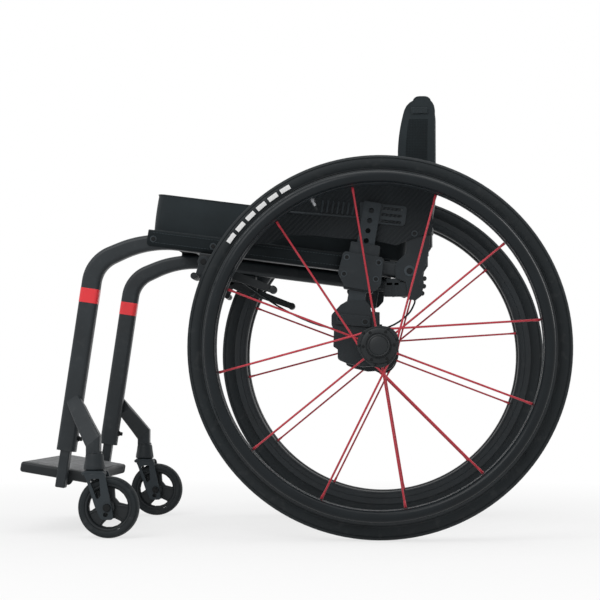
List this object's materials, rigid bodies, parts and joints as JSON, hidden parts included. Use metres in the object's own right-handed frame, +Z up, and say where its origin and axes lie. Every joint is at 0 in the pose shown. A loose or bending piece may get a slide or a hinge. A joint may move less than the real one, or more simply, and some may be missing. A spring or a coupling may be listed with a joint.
{
  "type": "active wheelchair",
  "caption": "Rigid-frame active wheelchair: large quick-release wheels with hand rims, swivel casters, sling seat with cushion, low folding padded backrest and footplate.",
  "frame": {"origin": "on the floor below the middle of the chair's bounding box", "axes": "+Z up, the chair faces -Y, +X to the chair's left; the two sides mirror each other in the plane x = 0"},
  "size_m": [0.5896, 0.8895, 0.714],
  "materials": {
    "frame_paint": "matte",
    "fabric_black": "matte",
    "plastic_black": "matte",
    "guard_black": "satin",
    "tyre_black": "matte",
    "caster_rubber": "matte",
    "spoke_red": "satin",
    "pin_steel": "satin",
    "cable_black": "matte"
  },
  "bodies": {
    "frame": {"seat_cross_tube": "frame_paint", "axle_tube": "frame_paint", "seat_sling": "fabric_black", "seat_cushion": "fabric_black", "release_cable": "cable_black", "frame_tube_left": "frame_paint", "frame_tube_right": "frame_paint", "caster_arm_left": "frame_paint", "caster_arm_right": "frame_paint", "caster_housing_left": "frame_paint", "caster_housing_right": "frame_paint", "axle_post_left": "frame_paint", "axle_post_right": "frame_paint", "post_collar_left": "frame_paint", "post_collar_right": "frame_paint", "clamp_plate_left": "frame_paint", "clamp_plate_right": "frame_paint", "axle_clamp_left": "frame_paint", "axle_clamp_right": "frame_paint", "side_guard_left": "guard_black", "side_guard_right": "guard_black", "back_bracket_left": "frame_paint", "back_bracket_right": "frame_paint", "lock_base_left": "plastic_black", "lock_base_right": "plastic_black"},
    "backrest": {"back_upholstery": "fabric_black", "back_hinge_bar": "frame_paint", "back_cane_left": "frame_paint", "back_cane_right": "frame_paint"},
    "footrest": {"footrest_tube_left": "frame_paint", "footrest_tube_right": "frame_paint"},
    "footplate": {"footplate": "plastic_black"},
    "wheel_pin_left": {"axle_pin_left": "pin_steel"},
    "button_left": {"axle_button_left": "plastic_black"},
    "wheel_left": {"rear_tyre_left": "tyre_black", "rear_rim_left": "frame_paint", "hand_rim_left": "frame_paint", "rear_hub_left": "spoke_red"},
    "caster_fork_left": {"caster_fork_left": "frame_paint", "caster_stem_left": "pin_steel", "caster_axle_left": "pin_steel"},
    "caster_wheel_left": {"caster_wheel_left": "plastic_black", "caster_tyre_left": "caster_rubber"},
    "lock_lever_left": {"lock_lever_left": "plastic_black"},
    "lock_shoe_left": {"lock_shoe_left": "frame_paint"},
    "wheel_pin_right": {"axle_pin_right": "pin_steel"},
    "button_right": {"axle_button_right": "plastic_black"},
    "wheel_right": {"rear_tyre_right": "tyre_black", "rear_rim_right": "frame_paint", "hand_rim_right": "frame_paint", "rear_hub_right": "spoke_red"},
    "caster_fork_right": {"caster_fork_right": "frame_paint", "caster_stem_right": "pin_steel", "caster_axle_right": "pin_steel"},
    "caster_wheel_right": {"caster_wheel_right": "plastic_black", "caster_tyre_right": "caster_rubber"},
    "lock_lever_right": {"lock_lever_right": "plastic_black"},
    "lock_shoe_right": {"lock_shoe_right": "frame_paint"}
  },
  "joints": [
    {"name": "backrest_fold", "type": "hinge", "parent": "frame", "child": "backrest", "pos_m": [0, 0.1895, 0.42857], "axis": [1, 0, 0], "range_deg": [0, 60], "deforming": ["back_upholstery"]},
    {"name": "footrest_height", "type": "slide", "parent": "frame", "child": "footrest", "axis": [0, 0.1398, 0.9902], "range_m": [-0.04, 0.03]},
    {"name": "footplate_tilt", "type": "hinge", "parent": "footrest", "child": "footplate", "pos_m": [0, -0.37947, 0.09042], "axis": [1, 0, 0], "range_deg": [-15, 15]},
    {"name": "wheel_release_left", "type": "slide", "parent": "frame", "child": "wheel_pin_left", "axis": [1, 0, 0], "range_m": [0, 0.13]},
    {"name": "axle_button_left", "type": "slide", "parent": "wheel_pin_left", "child": "button_left", "axis": [-1, 0, 0], "range_m": [0, 0.003], "stiffness_N_per_m": 900, "springref_m": -0.002},
    {"name": "wheel_spin_left", "type": "hinge", "parent": "wheel_pin_left", "child": "wheel_left", "pos_m": [0.25, 0.14, 0.305], "axis": [1, 0, 0], "continuous": true},
    {"name": "caster_swivel_left", "type": "hinge", "parent": "frame", "child": "caster_fork_left", "pos_m": [0.246, -0.314, 0.108], "axis": [0, 0, 1], "continuous": true},
    {"name": "caster_spin_left", "type": "hinge", "parent": "caster_fork_left", "child": "caster_wheel_left", "pos_m": [0.246, -0.29, 0.049], "axis": [1, 0, 0], "continuous": true},
    {"name": "lock_lever_left", "type": "hinge", "parent": "frame", "child": "lock_lever_left", "pos_m": [0.2123, -0.105, 0.425], "axis": [-1, 0, 0], "range_deg": [0, 60]},
    {"name": "lock_shoe_left", "type": "hinge", "parent": "frame", "child": "lock_shoe_left", "pos_m": [0.2179, -0.14391, 0.44316], "axis": [1, 0, 0], "range_deg": [0, 6]},
    {"name": "wheel_release_right", "type": "slide", "parent": "frame", "child": "wheel_pin_right", "axis": [-1, 0, 0], "range_m": [0, 0.13]},
    {"name": "axle_button_right", "type": "slide", "parent": "wheel_pin_right", "child": "button_right", "axis": [1, 0, 0], "range_m": [0, 0.003], "stiffness_N_per_m": 900, "springref_m": -0.002},
    {"name": "wheel_spin_right", "type": "hinge", "parent": "wheel_pin_right", "child": "wheel_right", "pos_m": [-0.25, 0.14, 0.305], "axis": [1, 0, 0], "continuous": true},
    {"name": "caster_swivel_right", "type": "hinge", "parent": "frame", "child": "caster_fork_right", "pos_m": [-0.246, -0.314, 0.108], "axis": [0, 0, 1], "continuous": true},
    {"name": "caster_spin_right", "type": "hinge", "parent": "caster_fork_right", "child": "caster_wheel_right", "pos_m": [-0.246, -0.29, 0.049], "axis": [1, 0, 0], "continuous": true},
    {"name": "lock_lever_right", "type": "hinge", "parent": "frame", "child": "lock_lever_right", "pos_m": [-0.2123, -0.105, 0.425], "axis": [-1, 0, 0], "range_deg": [0, 60]},
    {"name": "lock_shoe_right", "type": "hinge", "parent": "frame", "child": "lock_shoe_right", "pos_m": [-0.2179, -0.14391, 0.44316], "axis": [1, 0, 0], "range_deg": [0, 6]}
  ],
  "couplings": [
    {"joint": "lock_shoe_left", "follows": "lock_lever_left", "ratio": 0.1},
    {"joint": "lock_shoe_right", "follows": "lock_lever_right", "ratio": 0.1}
  ]
}
